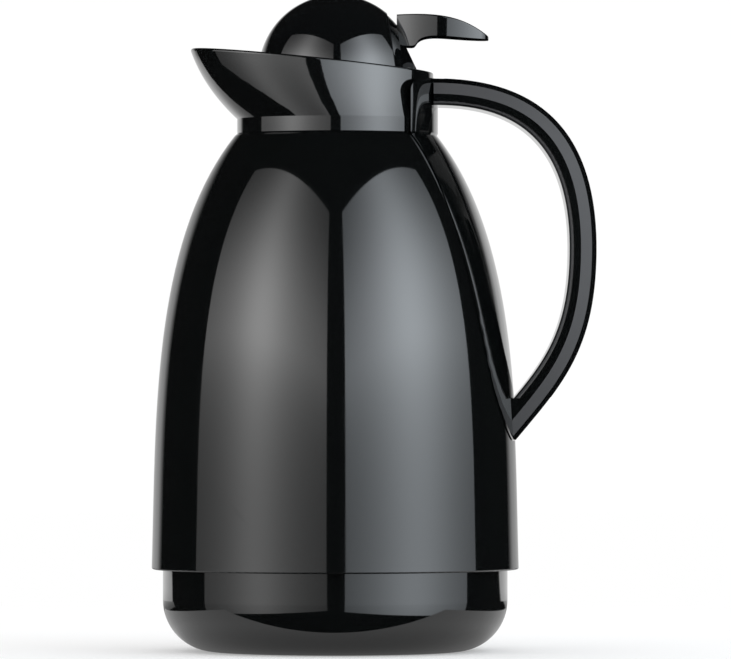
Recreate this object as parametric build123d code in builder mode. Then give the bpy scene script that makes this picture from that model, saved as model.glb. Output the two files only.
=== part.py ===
"""Glass-lined thermal carafe with a slanted pouring collar, a flip lid and a loop handle.

Millimetres, +Z up. The origin is the centre of the base, on the surface that the carafe
stands on. The handle points to +X and the spout to -X.
"""

import os
from math import cos, radians, sin

from build123d import *

# --- outer body -----------------------------------------------------------------------
skirt_radius = 75.2          # widest part, at the lower rim of the shell
skirt_z = 33.6               # height of that rim
bell_rise = 177.2            # from that rim to the shoulder
shoulder_radius = 41.4       # where the bell ends below the collar
waist_pull = 1.75            # how far the bell's lower control point stands inside the skirt
chest_pull = 0.9             # how far its upper control point stands outside the skirt
waist_share = 0.324          # heights of both points as shares of the bell
chest_share = 0.752
shell_wall = 2.4
shell_edge_rise = 1.2        # rounded top edge
shell_edge_width = 1.8
shell_ledge = 4.9            # from the shoulder in to the mouth
skirt_round = 0.8
shoulder_z = skirt_z + bell_rise
shell_top_z = shoulder_z + shell_edge_rise
shell_mouth_radius = shoulder_radius - shell_ledge
bell_line = [
    (skirt_radius, skirt_z),
    (skirt_radius - waist_pull, skirt_z + waist_share * bell_rise),
    (skirt_radius + chest_pull, skirt_z + chest_share * bell_rise),
    (shoulder_radius, shoulder_z),
]

# --- base cup -------------------------------------------------------------------------
base_step = 4.6              # how far the cup stands back from the skirt
base_corner = 21.0
base_wall = 2.4
base_overlap = 13.4          # how far the cup's rim reaches up inside the shell
base_play = 0.3              # gap between cup and shell
foot_width = 5.6             # standing ring at the edge of the flat bottom
foot_recess = 1.4
foot_pad_radius = 13.0       # flat pad in the middle, below the inner pedestal ring
pedestal_rise = 8.2          # height of the two rings that carry the cushion
pedestal_wall = 2.4
pedestal_margin = 1.5        # from the cushion's edges to the rings
base_radius = skirt_radius - base_step
base_floor_z = foot_recess + base_wall
base_top_z = skirt_z + base_overlap
pedestal_z = base_floor_z + pedestal_rise

# --- collar and spout -----------------------------------------------------------------
ring_step = 1.2              # how far the collar's ring stands back from the shoulder
ring_height = 6.0            # up to the crease where the spout starts
rim_rear_rise = 18.9         # heights of the slanted rim above that crease
rim_front_rise = 29.0
spout_reach = 19.4           # how far the lip stands out past the ring
keel_bulge = 0.55            # roundness of the front line, 0 for a straight one
side_taper = 1.0             # how much the rim is narrower than the ring, each side
collar_shares = [0.0, 0.5, 1.0]
hollow_shares = [0.0, 0.525, 1.05]
collar_wall = 2.4
collar_floor_rise = 12.0     # top of the collar's floor above the shell
collar_floor_wall = 2.4
collar_drop = 5.0            # how far the threaded tube reaches down into the shell
thread_inset = 6.2           # from the shell's mouth to the bore that the stopper screws into
thread_wall = 2.7
lip_round = 0.9
snap_count = 4
snap_angle = 45
snap_width = 8.0
snap_reach = 1.6
snap_height = 1.7
snap_play = 0.2
ring_radius = shoulder_radius - ring_step
ring_top_z = shell_top_z + ring_height
rim_rear_z = ring_top_z + rim_rear_rise
rim_front_z = ring_top_z + rim_front_rise
collar_floor_z = shell_top_z + collar_floor_rise
collar_foot_z = shell_top_z - collar_drop
thread_radius = shell_mouth_radius - thread_inset

# --- neck gasket ----------------------------------------------------------------------
gasket_gap = 0.7             # from the shell's mouth
gasket_wall = 1.6
gasket_height = 2.0          # between the collar's foot and the liner's lip
gasket_skirt = 3.4
gasket_play = 0.2
gasket_radius = shell_mouth_radius - gasket_gap

# --- glass liner ----------------------------------------------------------------------
cup_play = 0.6               # from the liner's side to the cup's wall
cushion_height = 10.0
cushion_hole_radius = 8.5
cushion_overhang = 2.0
cushion_round = 1.5
flask_corner_width = 31.6    # rounded bottom, across and up
flask_corner_rise = 34.0
flask_corner_pull = 0.665    # fullness of that round
flask_waist_share = 0.397    # control heights as shares of the bell
flask_chest_share = 0.849
flask_throat_share = 0.8206
flask_chest_bulge = 1.6
glass_wall = 1.6
vacuum_gap = 4.0
lip_height = 1.8
seal_tip_radius = 3.0
seal_tip_length = 4.6
spacer_rise = 10.0           # above the rounded bottom
spacer_height = 10.0
spacer_arc = 9.0             # degrees
spacer_count = 3
spacer_play = 0.15
flask_radius = base_radius - base_wall - cup_play
flask_flat_radius = flask_radius - flask_corner_width
flask_bottom_z = pedestal_z + cushion_height
flask_heel_z = flask_bottom_z + flask_corner_rise
flask_neck_radius = gasket_radius - gasket_wall - gasket_play
flask_lip_z = collar_foot_z - gasket_height
neck_inner_radius = flask_neck_radius - 2 * glass_wall - vacuum_gap

# --- stopper --------------------------------------------------------------------------
thread_play = 0.4
stopper_wall = 2.4
stopper_foot_rise = 1.0      # above the foot of the collar's tube
flange_reach = 3.0           # how far the flange covers the collar's floor
flange_wall = 2.6
flange_play = 0.3            # running gap under the flange
neck_play = 3.1              # between the liner's neck and the tube
tube_wall = 2.2
tube_drop = 4.0              # below the foot of the collar's tube
pour_radius = 11.0
pour_rim_wall = 2.2
seal_play = 0.3
seal_ring_round = 0.6
stopper_radius = thread_radius - thread_play
stopper_foot_z = collar_foot_z + stopper_foot_rise
flange_radius = thread_radius + flange_reach
flange_z = collar_floor_z + flange_play
flange_top_z = flange_z + flange_wall
tube_radius = neck_inner_radius - neck_play
tube_foot_z = collar_foot_z - tube_drop

# --- hinge ----------------------------------------------------------------------------
hinge_rise = 10.5            # pin above the flange
knuckle_radius = 3.3
knuckle_half = 8.8           # half the width between the ears
ear_play = 0.4
ear_wall = 2.4
ear_overhang = 0.7           # how far the ears stand out past the flange
ear_room = 0.9               # clear height of the lever's plate over the ears
pin_radius = 1.25
pin_play = 0.05
spring_wire = 0.7
spring_turns = 6
spring_lap = 0.94            # pitch of the close-wound coil as a share of the wire
spring_play = 0.45           # between coil and pin
spring_pocket_half = 2.7
spring_pocket_play = 0.3
spring_leg = 2.4             # upper leg, from the pin's axis to the roof of the pocket
hinge_x = flange_radius - knuckle_radius
hinge_z = flange_top_z + hinge_rise
ear_inner = knuckle_half + ear_play
ear_outer = ear_inner + ear_wall

# --- lid ------------------------------------------------------------------------------
dome_gap = 5.7               # between the collar's wall and the dome
dome_shift = 0.6             # the dome stands slightly behind the axis
dome_wall = 2.2
dome_foot_gap = 2.7          # over the stopper's flange
plug_gap = 2.6               # from the dome's foot up to the plug
dome_rise = 4.6              # centre of the ball above the plug's underside
cut_gap = 5.8                # plane that closes the dome's rear, in front of the pin
cut_rise = 2.4               # height over the pin where that gap is measured
cut_lean = 7.9               # degrees towards the spout
plug_play = 0.3
plug_wall = 2.4
pour_seal_overlap = 1.4      # past the pour rim
pour_seal_wall = 1.4
pour_seal_round = 0.4
seal_lift = 0.3              # gap from the pour rim at rest
keeper_wall = 1.6
lid_screw_radius = 1.2
lid_screw_head = 2.3
lid_screw_length = 6.0
lid_screw_gap = 1.5          # between the keeper ring and a screw's head
front_screw_angle = 147.0
rear_screw_angle = 17.5
boss_radius = 3.2
dome_radius = ring_radius - collar_wall - dome_gap
dome_inner = dome_radius - dome_wall
dome_foot_z = flange_top_z + dome_foot_gap
plug_z = dome_foot_z + plug_gap
plug_top_z = plug_z + plug_wall
dome_z = plug_z + dome_rise
cut_x = hinge_x - cut_gap
cut_z = hinge_z + cut_rise
seal_z = plug_z - pour_seal_wall
pour_rim_z = seal_z - seal_lift
pour_seal_radius = pour_radius + pour_rim_wall + pour_seal_overlap
keeper_radius = pour_seal_radius + plug_play
lid_screw_circle = keeper_radius + keeper_wall + lid_screw_head + lid_screw_gap

# --- thumb lever ----------------------------------------------------------------------
plate_inset = 0.5            # how far the rear plate's edge lies inside the dome's sphere
plate_wall = 3.0
lever_rise = 23.7            # top of the blade above the centre of the dome
lever_length = 37.6
lever_setback = 1.0          # start of the blade behind the dome's cut
lever_depth = 12.9           # from the top down to the heel
lever_drop = 10.1            # from the top down to the tip
lever_half = 13.6            # half-width at its widest, in the middle
lever_side_radius = 40.0
lever_corner = 6.0
lever_edge = 0.7
lever_crown = (18.0, 0.6)    # control points of the top line, from its start
lever_nose = (-10.6, -0.9)   # and from the tip
lever_lip = 1.1              # thickness of the tip
lever_belly = [(-13.0, 0.3), (-20.6, 2.0), (-25.6, 0.9)]    # underside, from the tip
lever_heel_run = 5.9         # the heel's lowest point behind the start
lever_heel_round = 3.0
lever_skin = 2.0             # walls of the blade, which is open below
lever_hollow_run = 8.4       # start of its hollow, behind the start of the blade
arm_lap = 7.0                # how far the arm runs up into the blade
arm_depth = 3.6              # of the arm where it meets the blade
arm_angle = 35.0             # where the arm's back leaves the knuckle, above the horizontal
lap_reach = 1.6              # how far the plate reaches into the dome
tongue_half = 9.0
tongue_reach = 9.0
tongue_wall = 4.0
lever_start_x = cut_x + lever_setback
lever_tip_x = lever_start_x + lever_length
lever_top_z = dome_z + lever_rise
lever_heel_z = lever_top_z - lever_depth
lever_tip_z = lever_top_z - lever_drop

# --- handle ---------------------------------------------------------------------------
grip_half = 16.0             # half the width of the loop
grip_drop = 2.7              # top of the loop below the rear of the rim
grip_depth = 11.0            # thickness of the loop at its top
grip_reach = 31.5            # rearmost point behind the skirt
grip_thickness = 11.1        # and thickness there
grip_middle_share = 0.7415   # height of that point as a share of the bell
grip_tip_share = 0.2881      # shares of the bell's line where the outer and
grip_crotch_share = 0.3765   # the inner line meet the body
outer_top_run = 30.7         # tangents of the outer line, from the collar round to the tip
outer_rear_drop = 10.3
outer_low_run = 41.4
outer_foot_pull = (18.8, 22.5)
inner_top_run = 19.8         # the same for the inner line
inner_rear_drop = 3.3
inner_low_run = 32.5
inner_foot_pull = (13.0, 15.6)
bevel_rise = 6.4             # bevel along both outer edges, in the side view
bevel_side = 2.1             # and across the width
edge_rise = 2.0              # steeper bevel outside it, along the first one
edge_side = 2.9              # and across the width
grip_round = 1.8
grip_root = 6.6              # how deep the loop's foot is drawn before it is cut to the body
cover_half = 10.6
cover_depth = 1.8
cover_play = 0.15
cover_proud = 0.1
cover_start = 4.4            # behind the collar's ring
cover_end = 0.4              # above the inner foot of the loop
saddle_wall = 1.9
saddle_play = 0.15
saddle_front = 9.4           # front edge of the block before the ring's rear
saddle_corner = 5.5
strip_depth = 1.0            # how deep the back strip lies in the shell
strip_proud = 0.4
strip_seam = 0.3
strip_recess_proud = 2.0     # how far the shape that cuts its recess stands out of the shell
strip_top_inset = 9.7        # edge of the strip before the ring's rear, at the shoulder
strip_top_pull = (24.6, -30.2)
strip_tip_inset = (-2.3, 1.4)   # its lower end, from the tip of the loop
strip_tip_pull = (-13.0, 25.4)
strip_end_inset = 1.5
handle_screw_share = 0.3422  # share of the bell's line
handle_screw_y = 7.0
handle_screw_radius = 1.4
handle_screw_head = 2.6
handle_screw_head_wall = 1.5
handle_screw_depth = 5.8     # how deep it goes into the handle
handle_screw_bite = 0.75     # how far its head stands off the shell's curved inside
screw_play = 0.05
tongue_width = 16.0          # tongue of the loop in the saddle
tongue_depth = 6.5
tongue_inset = 2.2           # below the top of the loop
root_tongue_play = 0.1
grip_top_z = rim_rear_z - grip_drop
grip_under_z = grip_top_z - grip_depth
grip_rear_x = skirt_radius + grip_reach
grip_inner_x = grip_rear_x - grip_thickness
grip_middle_z = skirt_z + grip_middle_share * bell_rise
saddle_radius = ring_radius + saddle_wall
saddle_front_x = ring_radius - saddle_front
cover_start_x = ring_radius + cover_start
strip_top_x = ring_radius - strip_top_inset


def shifted(points, distance):
    """Control points of a curve moved sideways, to the left of its direction."""
    corners = [Vector(*point) for point in points]
    steps = [(b - a).normalized() for a, b in zip(corners, corners[1:])]
    sides = [Vector(-step.Y, step.X) for step in steps]
    moved = [corners[0] + sides[0] * distance]
    for before, after, corner in zip(sides, sides[1:], corners[1:]):
        moved.append(corner + (before + after) * (distance / (1 + before.dot(after))))
    moved.append(corners[-1] + sides[-1] * distance)
    return moved


def bell_point(share):
    """The point of the bell's side line at a share of its curve, from the skirt up."""
    rest = 1 - share
    weights = (rest**3, 3 * rest**2 * share, 3 * rest * share**2, share**3)
    return sum((Vector(*point) * weight for weight, point in zip(weights, bell_line)), Vector())


def upright_plane(angle):
    """The vertical plane through the axis that looks out at an angle from +X."""
    turn = radians(angle)
    return Plane(origin=(0, 0, 0), x_dir=(cos(turn), sin(turn), 0), z_dir=(sin(turn), -cos(turn), 0))


# --- lines that several pieces share --------------------------------------------------
flask_heel = [
    (flask_flat_radius, flask_bottom_z),
    (flask_flat_radius + flask_corner_pull * flask_corner_width, flask_bottom_z),
    (flask_radius, flask_heel_z - flask_corner_pull * flask_corner_rise),
    (flask_radius, flask_heel_z),
]
flask_side = [
    (flask_radius, flask_heel_z),
    (flask_radius, skirt_z + flask_waist_share * bell_rise),
    (flask_radius + flask_chest_bulge, skirt_z + flask_chest_share * bell_rise),
    (flask_neck_radius, skirt_z + flask_throat_share * bell_rise),
    (flask_neck_radius, flask_lip_z - lip_height),
]
grip_tip = bell_point(grip_tip_share)
grip_crotch = bell_point(grip_crotch_share)
screw_spot = bell_point(handle_screw_share)
strip_tip = grip_tip + Vector(*strip_tip_inset)
cover_end_z = grip_crotch.Y + cover_end
tongue_z = grip_top_z - tongue_inset - tongue_depth / 2


def flask_shell(inset, wall):
    """A closed glass wall of revolution that lies inside the flask's outline."""
    heel, heel_in = shifted(flask_heel, inset), shifted(flask_heel, inset + wall)
    side, side_in = shifted(flask_side, inset), shifted(flask_side, inset + wall)
    with BuildPart() as glass:
        with BuildSketch(Plane.XZ):
            with BuildLine():
                Line((0, heel[0].Y), heel[0])
                Bezier(*heel)
                Bezier(*side)
                Line(side[-1], side_in[-1])
                Bezier(*side_in)
                Bezier(*heel_in)
                Line(heel_in[0], (0, heel_in[0].Y))
                Line((0, heel_in[0].Y), (0, heel[0].Y))
            make_face()
        revolve(axis=Axis.Z)
    return glass.part


def collar_section(share, inset):
    """Plane and half-axes of the collar's outline at a share of its height."""
    forward = spout_reach * ((1 + keel_bulge) * share - keel_bulge * share**2)
    front = Vector(-ring_radius - forward + inset, ring_top_z + share * (rim_front_z - ring_top_z))
    rear = Vector(ring_radius - inset, ring_top_z + share * (rim_rear_z - ring_top_z))
    middle = (front + rear) * 0.5
    along = rear - front
    place = Plane(
        origin=(middle.X, 0, middle.Y),
        x_dir=(along.X, 0, along.Y),
        z_dir=(-along.Y, 0, along.X),
    )
    return place, along.length / 2, ring_radius - side_taper * share - inset


def collar_solid(shares, inset):
    """The lofted body of the collar through its outlines at the given shares."""
    with BuildPart() as body:
        for share in shares:
            place, half_length, half_width = collar_section(share, inset)
            with BuildSketch(place):
                Ellipse(half_length, half_width)
        loft()
    return body.part


def saddle_blank(proud, seam):
    """Strip on the shell and block on the collar, cut from a ring by its side outline."""
    outer, inner = shifted(bell_line, -proud), shifted(bell_line, strip_depth)
    block_inner = ring_radius + saddle_play
    with BuildPart() as blank:
        with BuildSketch(Plane.XZ):
            with BuildLine():
                Bezier(*outer)
                Polyline(
                    outer[-1],
                    (saddle_radius, shell_top_z),
                    (saddle_radius, rim_rear_z),
                    (block_inner, rim_rear_z),
                    (block_inner, shell_top_z),
                    inner[-1],
                )
                Bezier(*inner)
                Line(inner[0], outer[0])
            make_face()
        revolve(axis=Axis.Z)
        with BuildSketch(Plane.XZ):
            with BuildLine():
                Bezier(
                    (strip_top_x - seam, shell_top_z),
                    (strip_top_x + strip_top_pull[0] - seam, shoulder_z + strip_top_pull[1]),
                    (strip_tip.X + strip_tip_pull[0] - seam, strip_tip.Y + strip_tip_pull[1]),
                    (strip_tip.X - seam, strip_tip.Y),
                )
                Polyline(
                    (strip_tip.X - seam, strip_tip.Y),
                    (grip_tip.X - strip_end_inset, grip_tip.Y - seam),
                    (grip_rear_x, grip_tip.Y - seam),
                    (grip_rear_x, grip_top_z),
                    (saddle_front_x + saddle_corner, grip_top_z),
                )
                TangentArc(
                    (saddle_front_x + saddle_corner, grip_top_z),
                    (saddle_front_x, grip_top_z - saddle_corner),
                    tangent=(-1, 0),
                )
                Polyline(
                    (saddle_front_x, grip_top_z - saddle_corner),
                    (saddle_front_x, shell_top_z),
                    (strip_top_x - seam, shell_top_z),
                )
            make_face()
        extrude(amount=skirt_radius, both=True, mode=Mode.INTERSECT)
    return blank.part


# --- outer shell ----------------------------------------------------------------------
inner_bell = shifted(bell_line, shell_wall)
base_hole_radius = base_radius + base_play
recess = saddle_blank(strip_recess_proud, strip_seam)
with BuildPart() as outer_shell:
    with BuildSketch(Plane.XZ):
        with BuildLine():
            Bezier(*bell_line)
            TangentArc(
                bell_line[-1],
                (shoulder_radius - shell_edge_width, shell_top_z),
                tangent=Vector(*bell_line[3]) - Vector(*bell_line[2]),
            )
            Polyline(
                (shoulder_radius - shell_edge_width, shell_top_z),
                (shell_mouth_radius, shell_top_z),
                (shell_mouth_radius, inner_bell[-1].Y),
                inner_bell[-1],
            )
            Bezier(*inner_bell)
            Line(inner_bell[0], bell_line[0])
        make_face()
        with BuildLine():
            Polyline(
                (base_hole_radius, skirt_z),
                (skirt_radius - shell_wall / 2, skirt_z),
                (skirt_radius - shell_wall / 2, skirt_z + shell_wall),
                (base_hole_radius, skirt_z + shell_wall),
                close=True,
            )
        make_face()
    revolve(axis=Axis.Z)
    with BuildSketch(Plane.XZ):
        with Locations((skirt_radius - skirt_round, skirt_z + skirt_round)):
            Rectangle(2 * skirt_round, 2 * skirt_round, align=(Align.MIN, Align.MAX))
            Circle(skirt_round, mode=Mode.SUBTRACT)
    revolve(axis=Axis.Z, mode=Mode.SUBTRACT)
    add(recess, mode=Mode.SUBTRACT)
    with BuildSketch(Plane.YZ):
        for side in (-1, 1):
            with Locations((side * handle_screw_y, screw_spot.Y)):
                Circle(handle_screw_radius + screw_play)
    extrude(amount=skirt_radius, mode=Mode.SUBTRACT)

# --- base cup -------------------------------------------------------------------------
flat_radius = base_radius - base_corner
with BuildPart() as base_cup:
    with BuildSketch(Plane.XZ):
        with BuildLine():
            Line((0, 0), (flat_radius, 0))
            TangentArc((flat_radius, 0), (base_radius, base_corner), tangent=(1, 0))
            Polyline((base_radius, base_corner), (base_radius, base_top_z), (0, base_top_z), (0, 0))
        make_face()
        inner_corner = base_corner - base_floor_z
        inner_radius = base_radius - base_wall
        with BuildLine():
            Line((0, base_floor_z), (inner_radius - inner_corner, base_floor_z))
            TangentArc(
                (inner_radius - inner_corner, base_floor_z),
                (inner_radius, base_corner),
                tangent=(1, 0),
            )
            Polyline(
                (inner_radius, base_corner),
                (inner_radius, base_top_z),
                (0, base_top_z),
                (0, base_floor_z),
            )
        make_face(mode=Mode.SUBTRACT)
        with Locations((foot_pad_radius, 0)):
            Rectangle(
                flat_radius - foot_width - foot_pad_radius,
                foot_recess,
                align=(Align.MIN, Align.MIN),
                mode=Mode.SUBTRACT,
            )
        inner_ring_x = cushion_hole_radius + pedestal_margin
        outer_ring_x = flask_flat_radius - cushion_overhang - pedestal_margin - pedestal_wall
        for ring_x in (inner_ring_x, outer_ring_x):
            with Locations((ring_x, pedestal_z)):
                Rectangle(pedestal_wall, pedestal_rise + base_wall / 2, align=(Align.MIN, Align.MAX))
    revolve(axis=Axis.Z)

# --- glass liner ----------------------------------------------------------------------
with BuildPart() as liner_outer_flask:
    add(flask_shell(0, glass_wall))
    with BuildSketch(Plane.XZ):
        with BuildLine():
            Polyline(
                (0, flask_bottom_z + glass_wall / 2),
                (0, flask_bottom_z - seal_tip_length),
                (seal_tip_radius / 3, flask_bottom_z - seal_tip_length),
                (seal_tip_radius, flask_bottom_z + glass_wall / 2),
                close=True,
            )
        make_face()
    revolve(axis=Axis.Z)

with BuildPart() as liner_inner_flask:
    add(flask_shell(glass_wall + vacuum_gap, glass_wall))
    with BuildSketch(Plane.XZ):
        with Locations((neck_inner_radius, flask_lip_z)):
            Rectangle(
                flask_neck_radius - neck_inner_radius, lip_height, align=(Align.MIN, Align.MAX)
            )
    revolve(axis=Axis.Z)

spacer_outer = flask_radius - glass_wall - spacer_play
spacer_inner = flask_radius - glass_wall - vacuum_gap + spacer_play
with BuildPart() as liner_spacers:
    for index in range(spacer_count):
        with BuildSketch(upright_plane(index * 360 / spacer_count - spacer_arc / 2)):
            with Locations((spacer_inner, flask_heel_z + spacer_rise)):
                Rectangle(spacer_outer - spacer_inner, spacer_height, align=(Align.MIN, Align.MIN))
        revolve(axis=Axis.Z, revolution_arc=-spacer_arc)

with BuildPart() as liner_cushion:
    with BuildSketch(Plane.XZ):
        with Locations((cushion_hole_radius, pedestal_z)):
            Rectangle(
                flask_flat_radius - cushion_overhang - cushion_hole_radius,
                flask_bottom_z - pedestal_z,
                align=(Align.MIN, Align.MIN),
            )
        fillet(vertices(), cushion_round)
    revolve(axis=Axis.Z)

with BuildPart() as neck_gasket:
    with BuildSketch(Plane.XZ):
        with BuildLine():
            Polyline(
                (thread_radius, flask_lip_z),
                (thread_radius, collar_foot_z),
                (gasket_radius, collar_foot_z),
                (gasket_radius, flask_lip_z - gasket_skirt),
                (flask_neck_radius + gasket_play, flask_lip_z - gasket_skirt),
                (flask_neck_radius + gasket_play, flask_lip_z),
                close=True,
            )
        make_face()
    revolve(axis=Axis.Z)

# --- spout collar ---------------------------------------------------------------------
with BuildPart() as collar_hollow:
    add(collar_solid(hollow_shares, collar_wall))
    split(bisect_by=Plane.XY.offset(collar_floor_z), keep=Keep.TOP)

with BuildPart() as spout_collar:
    add(collar_solid(collar_shares, 0))
    with BuildSketch(Plane.XY.offset(shell_top_z)):
        Circle(ring_radius)
    extrude(until=Until.NEXT)
    add(collar_hollow.part, mode=Mode.SUBTRACT)
    rim = edges().filter_by(lambda edge: edge.center().Z > rim_rear_z)
    fillet(rim, lip_round)
    with BuildSketch(Plane.XY.offset(shell_top_z)):
        Circle(ring_radius - collar_wall)
    extrude(amount=collar_floor_z - collar_floor_wall - shell_top_z, mode=Mode.SUBTRACT)
    with BuildSketch(Plane.XY.offset(collar_foot_z)):
        Circle(thread_radius + thread_wall)
    extrude(amount=collar_floor_z - collar_foot_z)
    with PolarLocations(thread_radius + thread_wall, snap_count, start_angle=snap_angle):
        with Locations((0, 0, inner_bell[-1].Y - snap_play)):
            Box(
                2 * (shell_mouth_radius + snap_reach - thread_radius - thread_wall),
                snap_width,
                snap_height,
                align=(Align.CENTER, Align.CENTER, Align.MAX),
            )
    with BuildSketch(Plane.XY.offset(collar_foot_z)):
        Circle(thread_radius)
    extrude(amount=collar_floor_z - collar_foot_z, mode=Mode.SUBTRACT)

# --- stopper --------------------------------------------------------------------------
with BuildPart() as stopper_body:
    with BuildSketch(Plane.XZ):
        with BuildLine():
            Polyline(
                (tube_radius - tube_wall, tube_foot_z),
                (tube_radius, tube_foot_z),
                (tube_radius, flange_z),
                (stopper_radius - stopper_wall, flange_z),
                (stopper_radius - stopper_wall, stopper_foot_z),
                (stopper_radius, stopper_foot_z),
                (stopper_radius, flange_z),
                (flange_radius, flange_z),
                (flange_radius, flange_top_z),
                (pour_radius + pour_rim_wall, flange_top_z),
                (pour_radius + pour_rim_wall, pour_rim_z),
                (pour_radius, pour_rim_z),
                (pour_radius, flange_z),
                (tube_radius - tube_wall, flange_z),
                close=True,
            )
        make_face()
    revolve(axis=Axis.Z)
    with BuildSketch(Plane.XZ):
        with Locations((hinge_x, hinge_z)):
            Circle(knuckle_radius)
            Rectangle(
                2 * knuckle_radius, hinge_rise + flange_wall / 2, align=(Align.CENTER, Align.MAX)
            )
    extrude(amount=ear_outer, both=True)
    with BuildSketch(Plane.XZ):
        with Locations((hinge_x, flange_top_z)):
            Rectangle(
                2 * (knuckle_radius + ear_play),
                hinge_rise + 2 * knuckle_radius,
                align=(Align.CENTER, Align.MIN),
            )
    extrude(amount=ear_inner, both=True, mode=Mode.SUBTRACT)
    with BuildSketch(Plane.XY.offset(flange_top_z)):
        Circle(flange_radius + ear_overhang + 2 * knuckle_radius)
        Circle(flange_radius + ear_overhang, mode=Mode.SUBTRACT)
    extrude(amount=hinge_rise + 2 * knuckle_radius, mode=Mode.SUBTRACT)
    with BuildSketch(Plane.XZ):
        with Locations((hinge_x, hinge_z)):
            Circle(pin_radius + pin_play)
    extrude(amount=ear_outer, both=True, mode=Mode.SUBTRACT)

with BuildPart() as stopper_seal:
    with BuildSketch(Plane.XZ):
        with Locations((tube_radius + seal_play, flask_lip_z + seal_play)):
            Rectangle(
                stopper_radius - tube_radius - seal_play,
                stopper_foot_z - flask_lip_z - 2 * seal_play,
                align=(Align.MIN, Align.MIN),
            )
        fillet(vertices(), seal_ring_round)
    revolve(axis=Axis.Z)

with BuildPart() as hinge_pin:
    with BuildSketch(Plane.XZ):
        with Locations((hinge_x, hinge_z)):
            Circle(pin_radius)
    extrude(amount=ear_outer, both=True)

wire_radius = spring_wire / 2
coil_radius = pin_radius + spring_play + wire_radius
coil_pitch = spring_lap * spring_wire
with BuildPart() as lid_spring:
    with BuildSketch(Plane.XY.offset(hinge_z)):
        for turn in range(spring_turns):
            with Locations((hinge_x - coil_radius, (turn - (spring_turns - 1) / 2) * coil_pitch)):
                Circle(wire_radius)
    revolve(axis=Axis((hinge_x, 0, hinge_z), (0, 1, 0)))
    coil_end = (spring_turns - 1) / 2 * coil_pitch
    with BuildSketch(Plane.XY.offset(hinge_z)):
        with Locations((hinge_x - coil_radius, -coil_end)):
            Circle(wire_radius)
    extrude(amount=flange_top_z + spring_play - hinge_z)
    with BuildSketch(Plane.XY.offset(hinge_z)):
        with Locations((hinge_x - coil_radius, coil_end)):
            Circle(wire_radius)
    extrude(amount=spring_leg)

# --- lid ------------------------------------------------------------------------------
cut_plane = Plane(
    origin=(cut_x, 0, cut_z),
    x_dir=(0, 1, 0),
    z_dir=(cos(radians(cut_lean)), 0, sin(radians(cut_lean))),
)
screw_spots = [front_screw_angle, -front_screw_angle, rear_screw_angle, -rear_screw_angle]


def ball_profile(radius, foot_z):
    """Half outline of a dome on a short skirt, closed along its axis, ready to revolve."""
    with BuildSketch(Plane.XZ.shift_origin((dome_shift, 0, 0))) as outline:
        with BuildLine():
            CenterArc((0, dome_z), radius, 0, 90)
            Polyline((0, dome_z + radius), (0, foot_z), (radius, foot_z), (radius, dome_z))
        make_face()
    return outline.sketch


dome_axis = Axis((dome_shift, 0, 0), (0, 0, 1))
with BuildPart() as lid_dome:
    add(ball_profile(dome_radius, dome_foot_z))
    revolve(axis=dome_axis)
    add(ball_profile(dome_inner, dome_foot_z))
    revolve(axis=dome_axis, mode=Mode.SUBTRACT)
    with BuildSketch(Plane.XY.offset(plug_top_z)):
        for angle in screw_spots[:2]:
            spot = Vector(lid_screw_circle, 0).rotate(Axis.Z, angle)
            with Locations((spot.X, spot.Y)):
                Circle(boss_radius)
    extrude(until=Until.NEXT)
    split(bisect_by=cut_plane, keep=Keep.BOTTOM)
    with BuildSketch(Plane.XY.offset(plug_top_z)):
        for angle in screw_spots[:2]:
            spot = Vector(lid_screw_circle, 0).rotate(Axis.Z, angle)
            with Locations((spot.X, spot.Y)):
                Circle(lid_screw_radius)
    extrude(amount=lid_screw_length - plug_wall, mode=Mode.SUBTRACT)

with BuildPart() as lid_plug:
    with BuildSketch(Plane.XY.offset(plug_z)):
        with Locations((dome_shift, 0)):
            Circle(dome_inner - plug_play)
    extrude(amount=plug_wall)
    split(bisect_by=cut_plane.offset(-plug_play), keep=Keep.BOTTOM)
    with BuildSketch(Plane.XY.offset(plug_z)):
        Circle(keeper_radius + keeper_wall)
        Circle(keeper_radius, mode=Mode.SUBTRACT)
    extrude(amount=seal_lift - pour_seal_wall)
    with BuildSketch(Plane.XY.offset(plug_z)):
        for angle in screw_spots:
            spot = Vector(lid_screw_circle, 0).rotate(Axis.Z, angle)
            with Locations((spot.X, spot.Y)):
                Circle(lid_screw_radius + screw_play)
    extrude(amount=plug_wall, mode=Mode.SUBTRACT)

with BuildPart() as pour_seal:
    with BuildSketch(Plane.XY.offset(seal_z)):
        Circle(pour_seal_radius)
    extrude(amount=plug_z - seal_z)
    fillet(edges().group_by(Axis.Z)[0], pour_seal_round)

with BuildPart() as lid_screws:
    with BuildSketch(Plane.XY.offset(plug_z)):
        for angle in screw_spots:
            spot = Vector(lid_screw_circle, 0).rotate(Axis.Z, angle)
            with Locations((spot.X, spot.Y)):
                Circle(lid_screw_head)
    extrude(amount=-pour_seal_wall)
    with BuildSketch(Plane.XY.offset(plug_z)):
        for angle in screw_spots:
            spot = Vector(lid_screw_circle, 0).rotate(Axis.Z, angle)
            with Locations((spot.X, spot.Y)):
                Circle(lid_screw_radius)
    extrude(amount=lid_screw_length)

# --- thumb lever ----------------------------------------------------------------------
with BuildPart() as plate_lap:
    add(ball_profile(dome_inner - plug_play, plug_top_z))
    revolve(axis=dome_axis)
    split(bisect_by=cut_plane.offset(-lap_reach), keep=Keep.TOP)
    split(bisect_by=cut_plane.offset(plug_play + plate_wall / 2), keep=Keep.BOTTOM)

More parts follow.
